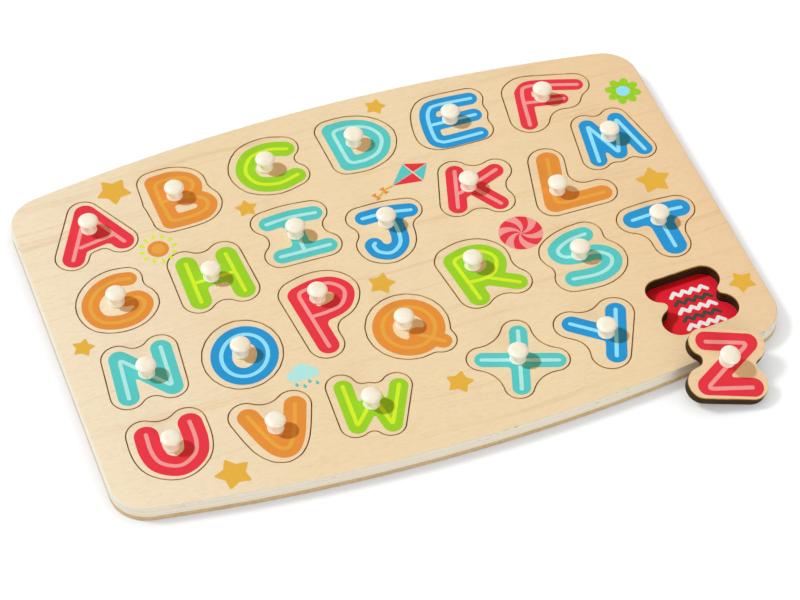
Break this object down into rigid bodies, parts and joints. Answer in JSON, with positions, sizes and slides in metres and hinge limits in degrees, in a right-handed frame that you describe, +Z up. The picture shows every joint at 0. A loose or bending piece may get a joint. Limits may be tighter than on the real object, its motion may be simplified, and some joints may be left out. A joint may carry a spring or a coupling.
{
  "type": "alphabet peg puzzle",
  "caption": "Plywood board with arched front and back edges and letter-shaped recesses that hold lift-out letter plates, each with a turned knob; one letter leans on the front edge.",
  "frame": {"origin": "middle of the board's underside, on the table", "axes": "+Z up, +X along the board's width to the reader's right, front arched edge towards -Y"},
  "size_m": [0.44, 0.3315, 0.0281],
  "materials": {
    "birch_ply": "pale veneer under a satin clear coat, dark sawn edges",
    "backing_ply": "raw board edge, printed upper face",
    "knob_lacquer": "cream gloss lacquer over turned wood",
    "ink_red": "satin printed ink",
    "ink_orange": "satin printed ink",
    "ink_lime": "satin printed ink",
    "ink_teal": "satin printed ink",
    "ink_blue": "satin printed ink",
    "ink_gold": "satin printed ink"
  },
  "bodies": {
    "board": {"frame_board": "birch_ply", "backing_board": "backing_ply"},
    "letter_a": {"plate_a": "birch_ply", "knob_a": "knob_lacquer"},
    "letter_b": {"plate_b": "birch_ply", "knob_b": "knob_lacquer"},
    "letter_c": {"plate_c": "birch_ply", "knob_c": "knob_lacquer"},
    "letter_d": {"plate_d": "birch_ply", "knob_d": "knob_lacquer"},
    "letter_e": {"plate_e": "birch_ply", "knob_e": "knob_lacquer"},
    "letter_f": {"plate_f": "birch_ply", "knob_f": "knob_lacquer"},
    "letter_g": {"plate_g": "birch_ply", "knob_g": "knob_lacquer"},
    "letter_h": {"plate_h": "birch_ply", "knob_h": "knob_lacquer"},
    "letter_i": {"plate_i": "birch_ply", "knob_i": "knob_lacquer"},
    "letter_j": {"plate_j": "birch_ply", "knob_j": "knob_lacquer"},
    "letter_k": {"plate_k": "birch_ply", "knob_k": "knob_lacquer"},
    "letter_l": {"plate_l": "birch_ply", "knob_l": "knob_lacquer"},
    "letter_m": {"plate_m": "birch_ply", "knob_m": "knob_lacquer"},
    "letter_n": {"plate_n": "birch_ply", "knob_n": "knob_lacquer"},
    "letter_o": {"plate_o": "birch_ply", "knob_o": "knob_lacquer"},
    "letter_p": {"plate_p": "birch_ply", "knob_p": "knob_lacquer"},
    "letter_q": {"plate_q": "birch_ply", "knob_q": "knob_lacquer"},
    "letter_r": {"plate_r": "birch_ply", "knob_r": "knob_lacquer"},
    "letter_s": {"plate_s": "birch_ply", "knob_s": "knob_lacquer"},
    "letter_t": {"plate_t": "birch_ply", "knob_t": "knob_lacquer"},
    "letter_u": {"plate_u": "birch_ply", "knob_u": "knob_lacquer"},
    "letter_v": {"plate_v": "birch_ply", "knob_v": "knob_lacquer"},
    "letter_w": {"plate_w": "birch_ply", "knob_w": "knob_lacquer"},
    "letter_x": {"plate_x": "birch_ply", "knob_x": "knob_lacquer"},
    "letter_y": {"plate_y": "birch_ply", "knob_y": "knob_lacquer"},
    "letter_z": {"plate_z": "birch_ply", "knob_z": "knob_lacquer"}
  },
  "joints": [
    {"name": "letter_a_lift", "type": "slide", "parent": "board", "child": "letter_a", "axis": [0, 0, 1], "range_m": [0, 0.04]},
    {"name": "letter_b_lift", "type": "slide", "parent": "board", "child": "letter_b", "axis": [0, 0, 1], "range_m": [0, 0.04]},
    {"name": "letter_c_lift", "type": "slide", "parent": "board", "child": "letter_c", "axis": [0, 0, 1], "range_m": [0, 0.04]},
    {"name": "letter_d_lift", "type": "slide", "parent": "board", "child": "letter_d", "axis": [0, 0, 1], "range_m": [0, 0.04]},
    {"name": "letter_e_lift", "type": "slide", "parent": "board", "child": "letter_e", "axis": [0, 0, 1], "range_m": [0, 0.04]},
    {"name": "letter_f_lift", "type": "slide", "parent": "board", "child": "letter_f", "axis": [0, 0, 1], "range_m": [0, 0.04]},
    {"name": "letter_g_lift", "type": "slide", "parent": "board", "child": "letter_g", "axis": [0, 0, 1], "range_m": [0, 0.04]},
    {"name": "letter_h_lift", "type": "slide", "parent": "board", "child": "letter_h", "axis": [0, 0, 1], "range_m": [0, 0.04]},
    {"name": "letter_i_lift", "type": "slide", "parent": "board", "child": "letter_i", "axis": [0, 0, 1], "range_m": [0, 0.04]},
    {"name": "letter_j_lift", "type": "slide", "parent": "board", "child": "letter_j", "axis": [0, 0, 1], "range_m": [0, 0.04]},
    {"name": "letter_k_lift", "type": "slide", "parent": "board", "child": "letter_k", "axis": [0, 0, 1], "range_m": [0, 0.04]},
    {"name": "letter_l_lift", "type": "slide", "parent": "board", "child": "letter_l", "axis": [0, 0, 1], "range_m": [0, 0.04]},
    {"name": "letter_m_lift", "type": "slide", "parent": "board", "child": "letter_m", "axis": [0, 0, 1], "range_m": [0, 0.04]},
    {"name": "letter_n_lift", "type": "slide", "parent": "board", "child": "letter_n", "axis": [0, 0, 1], "range_m": [0, 0.04]},
    {"name": "letter_o_lift", "type": "slide", "parent": "board", "child": "letter_o", "axis": [0, 0, 1], "range_m": [0, 0.04]},
    {"name": "letter_p_lift", "type": "slide", "parent": "board", "child": "letter_p", "axis": [0, 0, 1], "range_m": [0, 0.04]},
    {"name": "letter_q_lift", "type": "slide", "parent": "board", "child": "letter_q", "axis": [0, 0, 1], "range_m": [0, 0.04]},
    {"name": "letter_r_lift", "type": "slide", "parent": "board", "child": "letter_r", "axis": [0, 0, 1], "range_m": [0, 0.04]},
    {"name": "letter_s_lift", "type": "slide", "parent": "board", "child": "letter_s", "axis": [0, 0, 1], "range_m": [0, 0.04]},
    {"name": "letter_t_lift", "type": "slide", "parent": "board", "child": "letter_t", "axis": [0, 0, 1], "range_m": [0, 0.04]},
    {"name": "letter_u_lift", "type": "slide", "parent": "board", "child": "letter_u", "axis": [0, 0, 1], "range_m": [0, 0.04]},
    {"name": "letter_v_lift", "type": "slide", "parent": "board", "child": "letter_v", "axis": [0, 0, 1], "range_m": [0, 0.04]},
    {"name": "letter_w_lift", "type": "slide", "parent": "board", "child": "letter_w", "axis": [0, 0, 1], "range_m": [0, 0.04]},
    {"name": "letter_x_lift", "type": "slide", "parent": "board", "child": "letter_x", "axis": [0, 0, 1], "range_m": [0, 0.04]},
    {"name": "letter_y_lift", "type": "slide", "parent": "board", "child": "letter_y", "axis": [0, 0, 1], "range_m": [0, 0.04]},
    {"name": "letter_z_lift", "type": "slide", "parent": "board", "child": "letter_z", "axis": [0, 0, 1], "range_m": [0, 0.04]}
  ]
}
